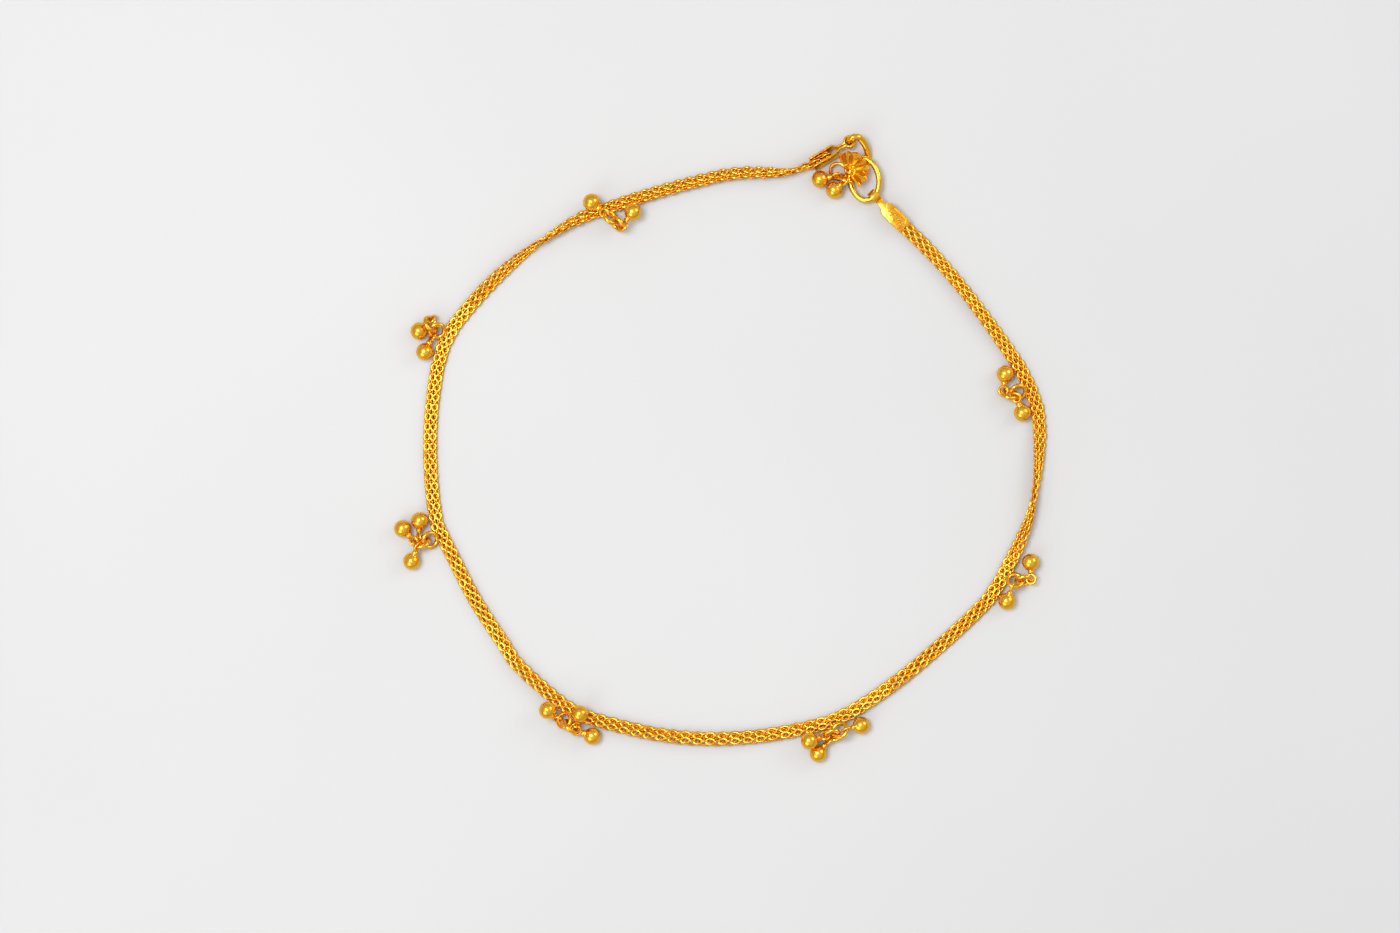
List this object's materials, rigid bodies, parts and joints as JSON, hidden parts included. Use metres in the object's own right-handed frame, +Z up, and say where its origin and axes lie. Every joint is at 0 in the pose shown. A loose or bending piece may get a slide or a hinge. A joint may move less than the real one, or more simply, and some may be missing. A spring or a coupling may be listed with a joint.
{
  "type": "charm anklet",
  "caption": "Flat woven chain anklet lying as a closed loop, with ball drops on linked rings, folded end caps and an S hook with a fluted shell.",
  "frame": {"origin": "middle of the loop's outline, on the surface it lies on", "axes": "+Z up from the surface, +Y towards the clasp side of the loop, +X towards the right end cap's side"},
  "size_m": [0.088, 0.0844, 0.0036],
  "materials": {
    "polished_gold": "polished yellow gold with fine wear",
    "chain_gold": "polished yellow gold links"
  },
  "bodies": {
    "root": {"chain": "chain_gold", "outer_ring_1": "polished_gold", "outer_ring_2": "polished_gold", "outer_ring_3": "polished_gold", "outer_ring_4": "polished_gold", "outer_ring_5": "polished_gold", "outer_ring_6": "polished_gold", "outer_ring_7": "polished_gold", "drop_01": "polished_gold", "drop_02": "polished_gold", "drop_03": "polished_gold", "drop_04": "polished_gold", "drop_05": "polished_gold", "drop_06": "polished_gold", "drop_07": "polished_gold", "drop_08": "polished_gold", "drop_09": "polished_gold", "drop_10": "polished_gold", "drop_11": "polished_gold", "drop_12": "polished_gold", "drop_13": "polished_gold", "drop_14": "polished_gold", "drop_15": "polished_gold", "drop_16": "polished_gold", "drop_17": "polished_gold", "drop_18": "polished_gold", "drop_19": "polished_gold", "left_cap": "polished_gold", "right_cap": "polished_gold", "connector_ring": "polished_gold", "hook": "polished_gold", "clasp_ring": "polished_gold", "clasp_link": "polished_gold"}
  },
  "joints": []
}
